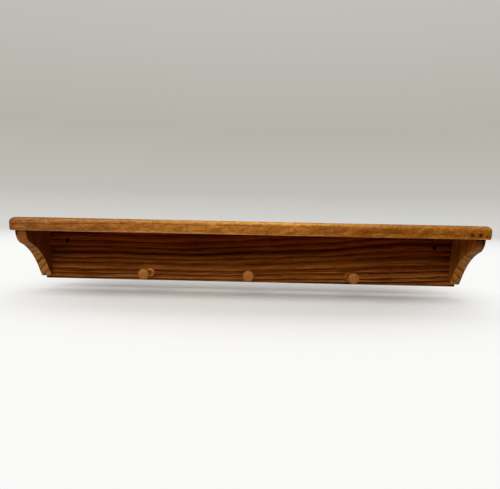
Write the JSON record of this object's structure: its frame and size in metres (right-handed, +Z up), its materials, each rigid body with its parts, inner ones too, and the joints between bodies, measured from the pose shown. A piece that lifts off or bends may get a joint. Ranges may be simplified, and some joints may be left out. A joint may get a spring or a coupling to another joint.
{
  "type": "wall plate rack",
  "caption": "Oak wall shelf with a plate groove, S-curve end brackets, a screwed back board and turned pegs for hanging things below.",
  "frame": {"origin": "on the wall plane, midway between the two wall screws", "axes": "+X along the shelf to the right as seen from the room, +Y into the wall, +Z up"},
  "size_m": [0.9144, 0.14, 0.129],
  "materials": {
    "shelf_oak": "satin varnish, golden oak",
    "back_oak": "satin varnish, dark oak with strong grain",
    "bracket_oak": "satin varnish, mid oak",
    "peg_wood": "satin varnish, pale turned wood",
    "dowel_wood": "plain",
    "screw_steel": "zinc plated"
  },
  "bodies": {
    "root": {"shelf_board": "shelf_oak", "back_board": "back_oak", "left_bracket": "bracket_oak", "right_bracket": "bracket_oak", "peg_left": "peg_wood", "peg_centre": "peg_wood", "peg_right": "peg_wood", "back_dowel_1": "dowel_wood", "back_dowel_2": "dowel_wood", "back_dowel_3": "dowel_wood", "back_dowel_4": "dowel_wood", "left_dowel_front": "dowel_wood", "left_dowel_rear": "dowel_wood", "right_dowel_front": "dowel_wood", "right_dowel_rear": "dowel_wood", "left_screw_upper": "screw_steel", "left_screw_lower": "screw_steel", "right_screw_upper": "screw_steel", "right_screw_lower": "screw_steel"}
  },
  "joints": []
}
